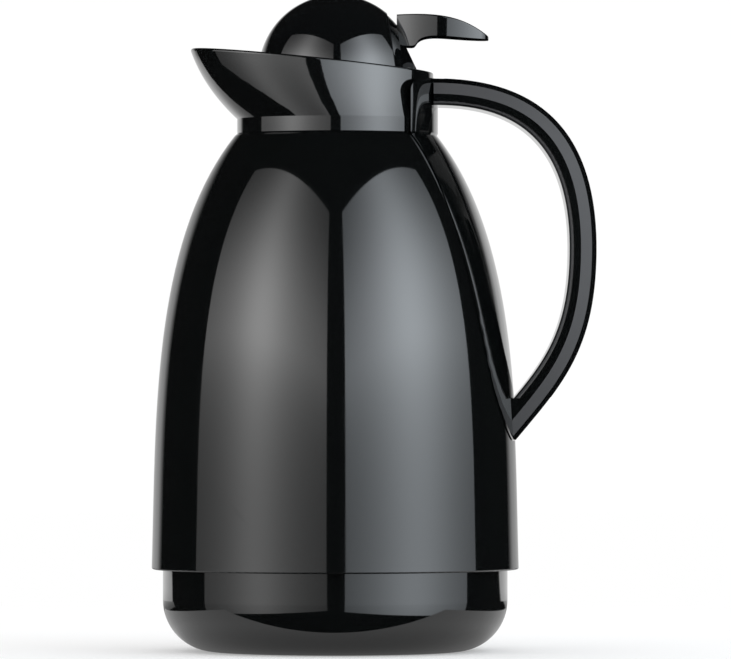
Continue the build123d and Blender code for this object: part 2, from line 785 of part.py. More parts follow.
knuckle_back = Vector(knuckle_radius, 0).rotate(Axis.Z, arm_angle)
with BuildPart() as thumb_lever:
    # rear plate: a slice of the dome's ball that closes its cut
    add(ball_profile(dome_radius - plate_inset, plug_z))
    revolve(axis=dome_axis)
    split(bisect_by=cut_plane.offset(plug_play), keep=Keep.TOP)
    split(bisect_by=cut_plane.offset(plug_play + plate_wall), keep=Keep.BOTTOM)
    add(plate_lap.part)
    # tongue over the plug
    with BuildSketch(Plane.XY.offset(plug_top_z)):
        with Locations((cut_x + plate_wall, 0)):
            Rectangle(tongue_reach + plate_wall, 2 * tongue_half, align=(Align.MAX, Align.CENTER))
    extrude(amount=tongue_wall)
    # room for the hinge ears
    with BuildSketch(Plane.XZ):
        with Locations((hinge_x - knuckle_radius - ear_play, hinge_z + knuckle_radius + ear_room)):
            Rectangle(
                4 * knuckle_radius, hinge_rise + knuckle_radius, align=(Align.MIN, Align.MAX)
            )
    extrude(amount=ear_outer + ear_play, both=True, mode=Mode.SUBTRACT)
    # arm between the hinge and the blade
    with BuildSketch(Plane.XZ):
        with Locations((hinge_x, hinge_z)):
            Circle(knuckle_radius)
        with BuildLine():
            Polyline(
                (cut_x, plug_top_z),
                (cut_x + plate_wall, plug_top_z),
                (hinge_x, hinge_z - knuckle_radius),
                (hinge_x + knuckle_back.X, hinge_z + knuckle_back.Y),
                (lever_start_x + arm_depth, lever_heel_z),
                (lever_start_x + arm_depth, lever_heel_z + arm_lap),
                (cut_x, lever_heel_z + arm_lap),
                close=True,
            )
        make_face()
    extrude(amount=knuckle_half, both=True)

with BuildPart() as lever_blade:
    with BuildSketch(Plane.XZ):
        with BuildLine():
            start = Vector(lever_start_x, lever_top_z)
            tip = Vector(lever_tip_x, lever_tip_z)
            belly = [tip + Vector(*offset) for offset in lever_belly]
            heel = Vector(lever_start_x + lever_heel_run, lever_heel_z)
            heel_pull = Vector(lever_heel_round, 0)
            crown_line = [
                start,
                start + Vector(*lever_crown),
                Vector(tip.X, start.Y) + Vector(*lever_nose),
                tip + Vector(0, lever_lip),
            ]
            Bezier(*crown_line)
            Line(crown_line[-1], tip)
            Bezier(tip, *belly)
            Bezier(belly[-1], belly[-1] * 2 - belly[-2], heel + heel_pull, heel)
            Bezier(
                heel,
                heel - heel_pull,
                (lever_start_x, lever_heel_z),
                (lever_start_x, lever_heel_z + lever_heel_round),
            )
            Line((lever_start_x, lever_heel_z + lever_heel_round), start)
        make_face()
    extrude(amount=lever_half, both=True)
    middle_x = (lever_start_x + lever_tip_x) / 2
    end_half = lever_half - lever_side_radius + (lever_side_radius**2 - (lever_length / 2) ** 2) ** 0.5
    with BuildSketch(Plane.XY.offset(lever_heel_z)) as plan:
        with BuildLine():
            Line((lever_start_x, end_half), (lever_start_x, -end_half))
            ThreePointArc(
                (lever_start_x, -end_half), (middle_x, -lever_half), (lever_tip_x, -end_half)
            )
            Line((lever_tip_x, -end_half), (lever_tip_x, end_half))
            ThreePointArc(
                (lever_tip_x, end_half), (middle_x, lever_half), (lever_start_x, end_half)
            )
        make_face()
        fillet(plan.vertices().group_by(Axis.X)[-1], lever_corner)
    extrude(amount=2 * lever_depth, mode=Mode.INTERSECT)
    crown = faces().filter_by(GeomType.PLANE, reverse=True).sort_by(Axis.Z)[-1]
    fillet(crown.edges().filter_by(lambda edge: edge.center().X > middle_x), lever_edge)

with BuildPart() as lever_hollow:
    with BuildSketch(Plane.XZ):
        with BuildLine():
            skin_line = shifted(crown_line, -lever_skin)
            Bezier(*skin_line)
            Polyline(
                skin_line[-1],
                (skin_line[-1].X, lever_heel_z - lever_skin),
                (skin_line[0].X, lever_heel_z - lever_skin),
                skin_line[0],
            )
        make_face()
    extrude(amount=lever_half, both=True)
    with BuildSketch(Plane.XY.offset(lever_heel_z - lever_skin)):
        offset(plan.sketch, amount=-lever_skin)
    extrude(amount=2 * lever_depth, mode=Mode.INTERSECT)
    split(bisect_by=Plane.YZ.offset(lever_start_x + lever_hollow_run), keep=Keep.TOP)

with BuildPart() as lever_cuts:
    with BuildSketch(Plane.XZ):
        with Locations((hinge_x, hinge_z)):
            Circle(pin_radius + pin_play)
    extrude(amount=ear_outer, both=True)
    with BuildSketch(Plane.XZ):
        with Locations((hinge_x, hinge_z)):
            Circle(knuckle_radius + spring_pocket_play)
            Rectangle(2 * knuckle_radius, 2 * knuckle_radius, align=(Align.CENTER, Align.MAX))
    extrude(amount=spring_pocket_half, both=True)
    with BuildSketch(Plane.XY.offset(plug_top_z)):
        for angle in screw_spots[2:]:
            spot = Vector(lid_screw_circle, 0).rotate(Axis.Z, angle)
            with Locations((spot.X, spot.Y)):
                Circle(lid_screw_radius)
    extrude(amount=lid_screw_length - plug_wall)

with thumb_lever:
    add(lever_blade.part)
    add(lever_hollow.part, mode=Mode.SUBTRACT)
    add(lever_cuts.part, mode=Mode.SUBTRACT)

# --- handle ---------------------------------------------------------------------------
outer_line_top = [
    (ring_radius, grip_top_z),
    (ring_radius + outer_top_run, grip_top_z),
    (grip_rear_x, grip_top_z - outer_rear_drop),
    (grip_rear_x, grip_middle_z),
]
outer_line_low = [
    (grip_rear_x, grip_middle_z),
    (grip_rear_x, grip_middle_z - outer_low_run),
    grip_tip + Vector(*outer_foot_pull),
    grip_tip,
]
inner_line_top = [
    (ring_radius, grip_under_z),
    (ring_radius + inner_top_run, grip_under_z),
    (grip_inner_x, grip_under_z - inner_rear_drop),
    (grip_inner_x, grip_middle_z),
]
inner_line_low = [
    (grip_inner_x, grip_middle_z),
    (grip_inner_x, grip_middle_z - inner_low_run),
    grip_crotch + Vector(*inner_foot_pull),
    grip_crotch,
]

with BuildPart() as handle_saddle:
    add(saddle_blank(strip_proud, 0))
    with BuildSketch(Plane.YZ):
        with Locations((0, tongue_z)):
            Rectangle(tongue_width, tongue_depth)
        for side in (-1, 1):
            with Locations((side * handle_screw_y, screw_spot.Y)):
                Circle(handle_screw_radius + screw_play)
    extrude(amount=skirt_radius + strip_proud, mode=Mode.SUBTRACT)

body_line = shifted(bell_line, -strip_proud)
root_x = grip_tip.X - grip_root
with BuildPart() as body_core:
    with BuildSketch(Plane.XZ):
        with BuildLine():
            Bezier(*body_line)
            Polyline(body_line[-1], (0, body_line[-1].Y), (0, skirt_z), body_line[0])
        make_face()
    revolve(axis=Axis.Z)


def cover_band(half, play):
    """The band along the loop's outer line that the cover fills."""
    outer_top, outer_low = shifted(outer_line_top, cover_proud), shifted(outer_line_low, cover_proud)
    inner_top, inner_low = shifted(outer_line_top, -cover_depth), shifted(outer_line_low, -cover_depth)
    with BuildPart() as band:
        with BuildSketch(Plane.XZ):
            with BuildLine():
                Bezier(*outer_top)
                Bezier(*outer_low)
                Line(outer_low[-1], inner_low[-1])
                Bezier(*inner_low[::-1])
                Bezier(*inner_top[::-1])
                Line(inner_top[0], outer_top[0])
            make_face()
        extrude(amount=half, both=True)
        split(bisect_by=Plane.YZ.offset(cover_start_x - play), keep=Keep.TOP)
        split(bisect_by=Plane.XY.offset(cover_end_z - play), keep=Keep.TOP)
    return band.part


with BuildPart() as handle_grip:
    with BuildSketch(Plane.XZ):
        with BuildLine():
            Bezier(*outer_line_top)
            Bezier(*outer_line_low)
            Polyline(grip_tip, (root_x, grip_tip.Y), (root_x, grip_crotch.Y), grip_crotch)
            Bezier(*inner_line_low[::-1])
            Bezier(*inner_line_top[::-1])
            Line(inner_line_top[0], outer_line_top[0])
        make_face()
    extrude(amount=grip_half, both=True)
    for flank in faces().filter_by(Axis.Y):
        back_edge = flank.edges().filter_by(GeomType.BSPLINE).sort_by(SortBy.LENGTH)[-1]
        chamfer(back_edge, bevel_rise, bevel_side, reference=flank)
    for side in (-1, 1):
        bevel = faces().filter_by(
            lambda face: side * face.center().Y > grip_half - bevel_side
            and side * face.center().Y < grip_half - bevel_side / 4
        ).sort_by(SortBy.AREA)[-1]
        edge_line = bevel.edges().filter_by(
            lambda edge: abs(side * edge.center().Y - grip_half + bevel_side) < bevel_side / 4
        ).sort_by(SortBy.LENGTH)[-1]
        chamfer(edge_line, edge_rise, edge_side, reference=bevel)
    for side in (0, -1):
        flank = faces().filter_by(Axis.Y).sort_by(Axis.Y)[side]
        fillet(flank.edges().filter_by(GeomType.BSPLINE).sort_by(Axis.X)[0], grip_round)
    add(body_core.part, mode=Mode.SUBTRACT)
    with BuildSketch(Plane.XY.offset(shell_top_z)):
        Circle(saddle_radius)
    extrude(amount=grip_top_z, mode=Mode.SUBTRACT)
    with BuildSketch(Plane.YZ):
        with Locations((0, tongue_z)):
            Rectangle(tongue_width - 2 * root_tongue_play, tongue_depth - 2 * root_tongue_play)
    extrude(amount=saddle_radius + saddle_wall)
    with BuildSketch(Plane.XY.offset(shell_top_z)):
        Circle(ring_radius + saddle_play)
    extrude(amount=grip_top_z, mode=Mode.SUBTRACT)
    add(cover_band(cover_half + cover_play, cover_play), mode=Mode.SUBTRACT)
    with BuildSketch(Plane.YZ):
        for side in (-1, 1):
            with Locations((side * handle_screw_y, screw_spot.Y)):
                Circle(handle_screw_radius)
    extrude(amount=screw_spot.X + handle_screw_depth, mode=Mode.SUBTRACT)

with BuildPart() as handle_cover:
    add(cover_band(cover_half, 0))

screw_seat_x = screw_spot.X - shell_wall - handle_screw_bite
with BuildPart() as handle_screws:
    for side in (-1, 1):
        with BuildSketch(Plane.YZ.offset(screw_seat_x)):
            with Locations((side * handle_screw_y, screw_spot.Y)):
                Circle(handle_screw_head)
        extrude(amount=-handle_screw_head_wall)
        with BuildSketch(Plane.YZ.offset(screw_seat_x)):
            with Locations((side * handle_screw_y, screw_spot.Y)):
                Circle(handle_screw_radius)
        extrude(amount=screw_spot.X + handle_screw_depth - screw_seat_x)

# --- write the pieces -----------------------------------------------------------------
pieces = {
    "outer_shell": outer_shell,
    "base_cup": base_cup,
    "liner_outer_flask": liner_outer_flask,
    "liner_inner_flask": liner_inner_flask,
    "liner_spacers": liner_spacers,
    "liner_cushion": liner_cushion,
    "neck_gasket": neck_gasket,
    "spout_collar": spout_collar,
    "stopper_body": stopper_body,
    "stopper_seal": stopper_seal,
    "hinge_pin": hinge_pin,
    "lid_spring": lid_spring,
    "lid_dome": lid_dome,
    "lid_plug": lid_plug,
    "pour_seal": pour_seal,
    "lid_screws": lid_screws,
    "thumb_lever": thumb_lever,
    "handle_saddle": handle_saddle,
    "handle_grip": handle_grip,
    "handle_cover": handle_cover,
    "handle_screws": handle_screws,
}
os.makedirs("parts", exist_ok=True)
for name, piece in pieces.items():
    piece.part.label = name
    export_step(piece.part, f"parts/{name}.step")
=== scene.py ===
"""Looks of a glass-lined thermal carafe with a flip lid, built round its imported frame.

Every length is in metres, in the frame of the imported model: +Z up, the handle towards +X,
the spout towards -X and the origin at the centre of the base.
"""

import logging
from dataclasses import dataclass, field
from enum import Enum
from math import pi, radians
from typing import Any, Callable, Optional, Union

import bmesh
import bpy
from mathutils import Matrix, Vector


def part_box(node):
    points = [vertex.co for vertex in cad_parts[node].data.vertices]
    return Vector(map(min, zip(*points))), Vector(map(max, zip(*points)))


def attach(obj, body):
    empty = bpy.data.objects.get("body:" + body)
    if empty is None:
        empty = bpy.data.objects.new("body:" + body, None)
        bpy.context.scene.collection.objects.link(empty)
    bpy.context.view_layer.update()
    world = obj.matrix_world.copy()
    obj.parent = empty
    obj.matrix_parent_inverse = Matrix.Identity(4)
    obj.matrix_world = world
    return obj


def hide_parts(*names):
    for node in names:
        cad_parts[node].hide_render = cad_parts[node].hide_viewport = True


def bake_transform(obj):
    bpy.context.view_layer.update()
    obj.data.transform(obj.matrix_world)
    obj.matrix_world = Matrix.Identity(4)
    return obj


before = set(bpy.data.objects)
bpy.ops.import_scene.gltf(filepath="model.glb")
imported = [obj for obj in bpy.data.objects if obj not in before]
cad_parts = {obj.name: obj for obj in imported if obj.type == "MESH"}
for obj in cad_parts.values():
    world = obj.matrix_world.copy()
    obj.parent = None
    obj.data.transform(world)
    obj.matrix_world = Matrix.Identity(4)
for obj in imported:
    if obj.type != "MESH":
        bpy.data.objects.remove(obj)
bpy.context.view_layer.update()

MM = 0.001
log = logging.getLogger("carafe")

WHITE = (1.0, 1.0, 1.0)
SAME_PLACE = 0.01 * MM           # corners nearer than this are one

Pair = tuple[float, float]
Triple = tuple[float, float, float]
Colour = Triple
Operand = Union["Shade", float]


class Body(Enum):
    """The moving groups that pieces made here ride on."""

    CARAFE = "carafe"
    STOPPER = "stopper"
    LID = "lid"


class Slot(Enum):
    """The finishes: the record's slots, and three gloss ones of this scene's own."""

    GLOSS_BLACK = "gloss_black"
    BELL_BLACK = "bell_black"
    LEVER_BLACK = "lever_black"
    GRIP_BLACK = "grip_black"
    LID_BLACK = "lid_black"
    SATIN_BLACK = "satin_black"
    SILVERED_GLASS = "silvered_glass"
    STEEL = "steel"
    GREY_RUBBER = "grey_rubber"
    SPACER_FELT = "spacer_felt"


# --- shader maths ---------------------------------------------------------------------
class Shade:
    """A value socket that takes part in plain arithmetic."""

    def __init__(self, graph: "Graph", socket: bpy.types.NodeSocket) -> None:
        """Keeps the socket and the graph that it belongs to."""
        self.graph = graph
        self.socket = socket

    def __add__(self, other: Operand) -> "Shade":
        """Sum."""
        return self.graph.math("ADD", self, other)

    def __radd__(self, other: Operand) -> "Shade":
        """Sum, the other way round."""
        return self.graph.math("ADD", other, self)

    def __sub__(self, other: Operand) -> "Shade":
        """Difference."""
        return self.graph.math("SUBTRACT", self, other)

    def __rsub__(self, other: Operand) -> "Shade":
        """Difference, the other way round."""
        return self.graph.math("SUBTRACT", other, self)

    def __mul__(self, other: Operand) -> "Shade":
        """Product."""
        return self.graph.math("MULTIPLY", self, other)

    def __rmul__(self, other: Operand) -> "Shade":
        """Product, the other way round."""
        return self.graph.math("MULTIPLY", other, self)

    def __truediv__(self, other: Operand) -> "Shade":
        """Quotient."""
        return self.graph.math("DIVIDE", self, other)

    def __rtruediv__(self, other: Operand) -> "Shade":
        """Quotient, the other way round."""
        return self.graph.math("DIVIDE", other, self)

    def __pow__(self, other: Operand) -> "Shade":
        """Power."""
        return self.graph.math("POWER", self, other)

    def __abs__(self) -> "Shade":
        """Size without sign."""
        return self.graph.math("ABSOLUTE", self)

    def clamped(self) -> "Shade":
        """The value held between 0 and 1."""
        return self.graph.math("MAXIMUM", self.graph.math("MINIMUM", self, 1.0), 0.0)

    def between(self, low: float, high: float) -> "Shade":
        """A soft step.

        Args:
            low: The value at which the step starts.
            high: The value at which it ends.

        Returns:
            0 below the step and 1 above it.
        """
        share = ((self - low) / (high - low)).clamped()
        return share * share * (3.0 - 2.0 * share)

    def raised(self, least: float) -> "Shade":
        """The value squeezed up, so that 0 becomes the least one and 1 stays."""
        return least + (1.0 - least) * self


@dataclass(frozen=True)
class Pattern:
    """Smooth noise over a piece, sharpened to a soft step where one is given."""

    scale: float                          # features in a metre
    detail: float = 2.0                   # octaves
    stretch: Triple = (1.0, 1.0, 1.0)     # scale along each axis on top of that
    step: Optional[Pair] = None           # the noise that gives 0, and that which gives 1


class Graph:
    """A node tree that nodes are added to by one method."""

    def __init__(self, tree: bpy.types.NodeTree) -> None:
        """Empties the tree and keeps it, with the noises that it comes to hold.

        Args:
            tree: The tree of a material or of the world.
        """
        self.tree = tree
        self.noises: dict[Pattern, Shade] = {}
        tree.nodes.clear()

    def node(
        self,
        kind: str,
        settings: Optional[dict[str, Any]] = None,
        inputs: Optional[dict[Union[str, int], Any]] = None,
    ) -> bpy.types.Node:
        """Adds one node.

        Args:
            kind: The node's type.
            settings: Its own settings, which are set first.
            inputs: Values, sockets or shades for its sockets.

        Returns:
            The new node.
        """
        made = self.tree.nodes.new(kind)
        for name, value in (settings or {}).items():
            setattr(made, name, value)
        for name, value in (inputs or {}).items():
            self._feed(made.inputs[name], value)
        return made

    def feed(self, node: bpy.types.Node, name: str, value: Any) -> None:
        """Links or sets a socket of a node that is already there."""
        self._feed(node.inputs[name], value)

    def _feed(self, socket: bpy.types.NodeSocket, value: Any) -> None:
        """Links a socket or sets its value.

        Args:
            socket: The socket.
            value: A shade, another socket, a colour or a plain value.
        """
        if isinstance(value, Shade):
            value = value.socket
        if isinstance(value, bpy.types.NodeSocket):
            self.tree.links.new(value, socket)
        elif isinstance(value, tuple) and len(value) == 3 and socket.type == "RGBA":
            socket.default_value = (*value, 1.0)
        else:
            socket.default_value = value

    def math(self, operation: str, *values: Operand) -> Shade:
        """Adds one Math node and returns its result."""
        made = self.node("ShaderNodeMath", {"operation": operation}, dict(enumerate(values)))
        return Shade(self, made.outputs[0])

    def turned(
        self, normal: bpy.types.NodeSocket, source: str, target: str
    ) -> bpy.types.NodeSocket:
        """A normal carried from one space, such as "OBJECT", to another."""
        spaces = {"vector_type": "NORMAL", "convert_from": source, "convert_to": target}
        return self.node("ShaderNodeVectorTransform", spaces, {0: normal}).outputs[0]

    def curve(self, along: Shade, points: list[Pair]) -> Shade:
        """A line drawn through points.

        Args:
            along: Where to read it, from 0 to 1.
            points: Its points, in order, with both numbers from 0 to 1.

        Returns:
            The height of the line.
        """
        made = self.node("ShaderNodeFloatCurve", {}, {"Value": along})
        line = made.mapping.curves[0]
        line.points[0].location, line.points[1].location = points[0], points[-1]
        for point in points[1:-1]:
            line.points.new(*point)
        made.mapping.update()
        return Shade(self, made.outputs[0])

    def place(self) -> bpy.types.NodeSocket:
        """The point on the piece, in the frame of the model."""
        return self.node("ShaderNodeTexCoord").outputs["Object"]

    def facing(self) -> bpy.types.NodeSocket:
        """The piece's normal at that point, in the same frame."""
        return self.node("ShaderNodeTexCoord").outputs["Normal"]

    def split(self, vector: bpy.types.NodeSocket) -> tuple[Shade, Shade, Shade]:
        """The three parts of a point or a normal."""
        parts = self.node("ShaderNodeSeparateXYZ", {}, {0: vector})
        return tuple(Shade(self, output) for output in parts.outputs)

    def off_axis(self) -> Shade:
        """How far the point is from the upright axis of the carafe."""
        x, y, _ = self.split(self.place())
        return (x * x + y * y) ** 0.5

    def noise(self, pattern: Pattern) -> Shade:
        """Smooth noise over the piece, which is made once for each pattern.

        Args:
            pattern: What the noise is like.

        Returns:
            Noise around 0.5, or from 0 to 1 where the pattern has a step.
        """
        if pattern in self.noises:
            return self.noises[pattern]
        stretch = {"Vector": self.place(), "Scale": pattern.stretch}
        place = self.node("ShaderNodeMapping", {}, stretch).outputs[0]
        made = self.node(
            "ShaderNodeTexNoise",
            {"noise_dimensions": "3D"},
            {"Vector": place, "Scale": pattern.scale, "Detail": pattern.detail},
        )
        value = Shade(self, made.outputs["Fac"])
        self.noises[pattern] = value.between(*pattern.step) if pattern.step else value
        return self.noises[pattern]

    def mix(
        self,
        share: Operand,
        low: Union[Colour, bpy.types.NodeSocket],
        high: Union[Colour, bpy.types.NodeSocket],
    ) -> bpy.types.NodeSocket:
        """A colour between two others."""
        inputs = {"Factor": share, 6: low, 7: high}
        return self.node("ShaderNodeMix", {"data_type": "RGBA"}, inputs).outputs[2]

    def bump(self, height: Shade, depth: float) -> bpy.types.NodeSocket:
        """Normals of a surface that rises this far, in metres, as a value goes from 0 to 1."""
        inputs = {"Strength": 1.0, "Distance": depth, "Height": height}
        return self.node("ShaderNodeBump", {}, inputs).outputs[0]

    def principled(self, inputs: dict[str, Any]) -> bpy.types.Node:
        """The shader of most finishes, with these values and links."""
        return self.node("ShaderNodeBsdfPrincipled", {}, inputs)

    def emission(self, tint: Colour, strength: Operand) -> bpy.types.Node:
        """The shader of what gives light."""
        return self.node("ShaderNodeEmission", {}, {"Color": tint, "Strength": strength})


def new_material(name: str, surface: Callable[[Graph], bpy.types.Node]) -> bpy.types.Material:
    """Makes a material.

    Args:
        name: Its name.
        surface: Adds the surface's nodes to a graph and gives back their shader.

    Returns:
        The material.
    """
    made = bpy.data.materials.new(name)
    made.use_nodes = True
    graph = Graph(made.node_tree)
    graph.node("ShaderNodeOutputMaterial", {}, {"Surface": surface(graph).outputs[0]})
    return made


# --- finishes -------------------------------------------------------------------------
Unevenness = tuple[tuple[float, Pattern], ...]
Values = tuple[tuple[str, float], ...]

ERODED_GRAIN = Pattern(2600.0, 3.0)       # left by a mould that isn't polished
ERODED_DEPTH = 2.2e-5
FINE_MARKS = 900.0                        # in a metre


@dataclass(frozen=True)
class Finish:
    """A surface that noise wanders over, in its colour, its shine and its relief."""

    slot: Slot
    dark: Colour
    light: Colour
    mottle: Pattern = Pattern(55.0)       # takes the colour from dark to light
    roughness: float = 0.5                # the least
    uneven: Unevenness = ()               # what noise adds to that at most
    relief: Pattern = ERODED_GRAIN
    depth: float = ERODED_DEPTH           # of the relief
    others: Values = ()                   # plain values of other sockets

    def material(self) -> bpy.types.Material:
        """Builds the material, with the lighter colour as its plain one.

        Returns:
            The material.
        """
        made = new_material(self.slot.value, self.shader)
        made.diffuse_color = (*self.light, 1.0)
        return made

    def shader(self, graph: Graph) -> bpy.types.Node:
        """Adds the finish's own nodes.

        Args:
            graph: The material's graph.

        Returns:
            The shader that ends them.
        """
        rough = self.roughness
        for most, pattern in self.uneven:
            rough = rough + most * graph.noise(pattern)
        return graph.principled(
            {
                "Base Color": graph.mix(graph.noise(self.mottle), self.dark, self.light),
                "Roughness": rough,
                "Normal": graph.bump(graph.noise(self.relief), self.depth),
                **dict(self.others),
            }
        )


@dataclass(frozen=True)
class GlossPlastic(Finish):
    """Dark plastic under a clear polish, which wavers a little and shows handling."""

    roughness: float = 0.06
    uneven: Unevenness = (
        (0.035, Pattern(38.0, 3.0, (1.0, 1.0, 0.45), (0.47, 0.77))),
        (0.015, Pattern(FINE_MARKS, step=(0.58, 0.74))),
    )
    relief: Pattern = Pattern(11.0, 1.0)
    depth: float = 1.5e-5
    others: Values = (
        ("IOR", 1.6),
        ("Coat Weight", 1.0),
        ("Coat Roughness", 0.035),
        ("Coat IOR", 1.65),
    )


@dataclass(frozen=True)
class LeverGloss(GlossPlastic):
    """The same polished moulding with a dull, near-black underside without reflections, which is
    painted shade under the lever.
    """

    under: Pair = (0.20, 0.50)            # downward part of the normal
    # near-black of the underside, painted shade
    matt: Colour = (0.006, 0.0065, 0.007)
    specks: Pattern = Pattern(FINE_MARKS)

    def shader(self, graph: Graph) -> bpy.types.Node:
        """Adds polish above and, below, a dull skin without reflections that is painted shade.

        Args:
            graph: The material's graph.

        Returns:
            The shader that blends them.
        """
        made = super().shader(graph)
        upward = graph.split(graph.facing())[2]
        under = (-1.0 * upward).between(*self.under)
        # painted shade on downward faces: near-black, fully rough and without reflections
        dull = graph.principled(
            {
                "Base Color": graph.mix(graph.noise(self.specks), self.dark, self.matt),
                "Roughness": 1.0,
                "Specular IOR Level": 0.0,
                "Normal": graph.bump(graph.noise(ERODED_GRAIN), ERODED_DEPTH),
            }
        )
        blend = {0: under, 1: made.outputs[0], 2: dull.outputs[0]}
        return graph.node("ShaderNodeMixShader", {}, blend)


@dataclass(frozen=True)
class BellGloss(GlossPlastic):
    """The same polished moulding, shaded by the true slope of the turned bell.

    The shell comes in long triangles, over which blended normals wander by about a degree.
    A clear coat would keep those, so the bell has one layer as bright as both.
    """

    roughness: float = 0.045
    others: Values = (("IOR", 1.97),)
    line: tuple[Pair, ...] = (            # reach and height of a cubic curve's points
        (75.2 * MM, 33.6 * MM),
        (73.45 * MM, 91.013 * MM),
        (76.1 * MM, 166.854 * MM),
        (41.4 * MM, 210.8 * MM),
    )
    stations: int = 30
    lift: float = 0.1                     # keeps the sampled slopes above zero
    agreement: Pair = (0.976, 0.988)      # of the bell's normal and the triangle's own
    fade: float = 1.5 * MM                # at the top of the bell

    def slopes(self) -> list[Pair]:
        """Samples the bell's line.

        Returns:
            The height of each sample as a share of the bell, and the upward part of the
            normal there, lifted.
        """
        first, second, third, last = (Vector(point) for point in self.line)
        samples = []
        for index in range(self.stations):
            along = index / (self.stations - 1)
            rest = 1.0 - along
            point = first * rest**3 + last * along**3
            point += (second * rest + third * along) * 3 * rest * along
            way = (second - first) * rest**2 + (last - third) * along**2
            way += (third - second) * 2 * rest * along
            height = (point.y - first.y) / (last.y - first.y)
            samples.append((height, self.lift - way.x / way.length))
        return samples

    def shader(self, graph: Graph) -> bpy.types.Node:
        """Adds polish whose normals follow the bell wherever the surface is the bell's.

        Args:
            graph: The material's graph.

        Returns:
            The shader.
        """
        made = super().shader(graph)
        across, deep, height = graph.split(graph.place())
        foot, top = self.line[0][1], self.line[-1][1]
        rise = graph.curve((height - foot) / (top - foot), self.slopes()) - self.lift
        stretch = ((1.0 - rise * rise) / (across * across + deep * deep)) ** 0.5
        parts = {0: across * stretch, 1: deep * stretch, 2: rise}
        bell = graph.node("ShaderNodeCombineXYZ", {}, parts).outputs[0]
        own = graph.node("ShaderNodeNewGeometry").outputs["True Normal"]
        pair = {0: bell, 1: graph.turned(own, "WORLD", "OBJECT")}
        match = graph.node("ShaderNodeVectorMath", {"operation": "DOT_PRODUCT"}, pair)
        share = Shade(graph, match.outputs["Value"]).between(*self.agreement)
        share = share * (1.0 - height.between(top - self.fade, top))
        choice = {0: share, 4: graph.facing(), 5: bell}
        blend = graph.node("ShaderNodeMix", {"data_type": "VECTOR"}, choice)
        world = graph.turned(blend.outputs[1], "OBJECT", "WORLD")
        graph.feed(made.inputs["Normal"].links[0].from_node, "Normal", world)
        return made


@dataclass(frozen=True)
class BeveledGloss(GlossPlastic):
    """The same polished moulding with a rough grey face with eroded grain on its slanted bevels,
    whose grey is a painted reflection.
    """

    # grey of the bevels, a painted reflection
    matt: Colour = (0.045, 0.044, 0.046)
    matt_roughness: float = 0.44          # the least
    matt_uneven: float = 0.12             # what the grain adds to that at most
    least_slant: Pair = (0.80, 0.86)      # sideways part of the normal
    most_slant: Pair = (0.970, 0.985)

    def shader(self, graph: Graph) -> bpy.types.Node:
        """Adds polish everywhere but on the faces that slant as the bevels do, which get the grey
        of a painted reflection.

        Args:
            graph: The material's graph.

        Returns:
            The shader.
        """
        made = super().shader(graph)
        sideways = abs(graph.split(graph.facing())[1])
        bevel = sideways.between(*self.least_slant) * (1.0 - sideways.between(*self.most_slant))
        colour = made.inputs["Base Color"].links[0].from_socket
        polish = Shade(graph, made.inputs["Roughness"].links[0].from_socket)
        dull = self.matt_roughness + self.matt_uneven * graph.noise(ERODED_GRAIN)
        # the bevels' grey is a painted reflection
        graph.feed(made, "Base Color", graph.mix(bevel, colour, self.matt))
        graph.feed(made, "Roughness", polish * (1.0 - bevel) + dull * bevel)
        graph.feed(made, "Coat Weight", 1.0 - bevel)
        return made


@dataclass(frozen=True)
class SatinPlastic(Finish):
    """Moulding with a fine eroded grain and a faint cloud, as on parts not polished."""

    mottle: Pattern = Pattern(70.0)
    roughness: float = 0.32
    uneven: Unevenness = ((0.14, ERODED_GRAIN), (0.06, mottle))
    others: Values = (("IOR", 1.5),)


@dataclass(frozen=True)
class SilveredGlass(Finish):
    """Glass with its silver seen through it, faintly tarnished and wavy from the blowing."""

    mottle: Pattern = Pattern(30.0, 4.0, step=(0.78, 0.42))
    roughness: float = 0.05
    uneven: Unevenness = ((0.12, Pattern(30.0, 4.0, step=(0.42, 0.78))),)
    relief: Pattern = Pattern(22.0, 1.0)
    depth: float = 1.2e-4
    others: Values = (("Metallic", 1.0), ("Coat Weight", 1.0), ("Coat Roughness", 0.02))


@dataclass(frozen=True)
class DrawnSteel(Finish):
    """Bright steel, faintly stained, with fine drawing lines along one axis."""

    mottle: Pattern = Pattern(240.0, 3.0)
    roughness: float = 0.10
    relief: Pattern = Pattern(5200.0, 2.0, (1.0, 0.04, 1.0))
    uneven: Unevenness = ((0.18, relief), (0.1, mottle))
    depth: float = 6.0e-6
    others: Values = (("Metallic", 1.0),)


@dataclass(frozen=True)
class SoftRubber(Finish):
    """Silicone seal: dull, slightly dusty, with fine pores and a soft sheen."""

    mottle: Pattern = Pattern(120.0, 4.0)
    roughness: float = 0.56
    uneven: Unevenness = ((0.12, mottle),)
    relief: Pattern = Pattern(3400.0)
    depth: float = 1.5e-5
    others: Values = (("IOR", 1.45), ("Sheen Weight", 0.15), ("Sheen Roughness", 0.5))


@dataclass(frozen=True)
class PressedFelt(Finish):
    """Felt pad: matted fibres that run every way, mottled in colour."""

    mottle: Pattern = Pattern(1500.0, 6.0, (1.0, 1.0, 0.3))
    roughness: float = 0.95
    relief: Pattern = mottle
    depth: float = 1.2e-4
    others: Values = (("Sheen Weight", 0.4),)


BODY_TINTS = (0.0020, 0.0024, 0.0025), (0.0028, 0.0034, 0.0034)
LID_TINTS = (0.0020, 0.0024, 0.0026), (0.0028, 0.0034, 0.0036)
LID_WAVES = 1.0e-5

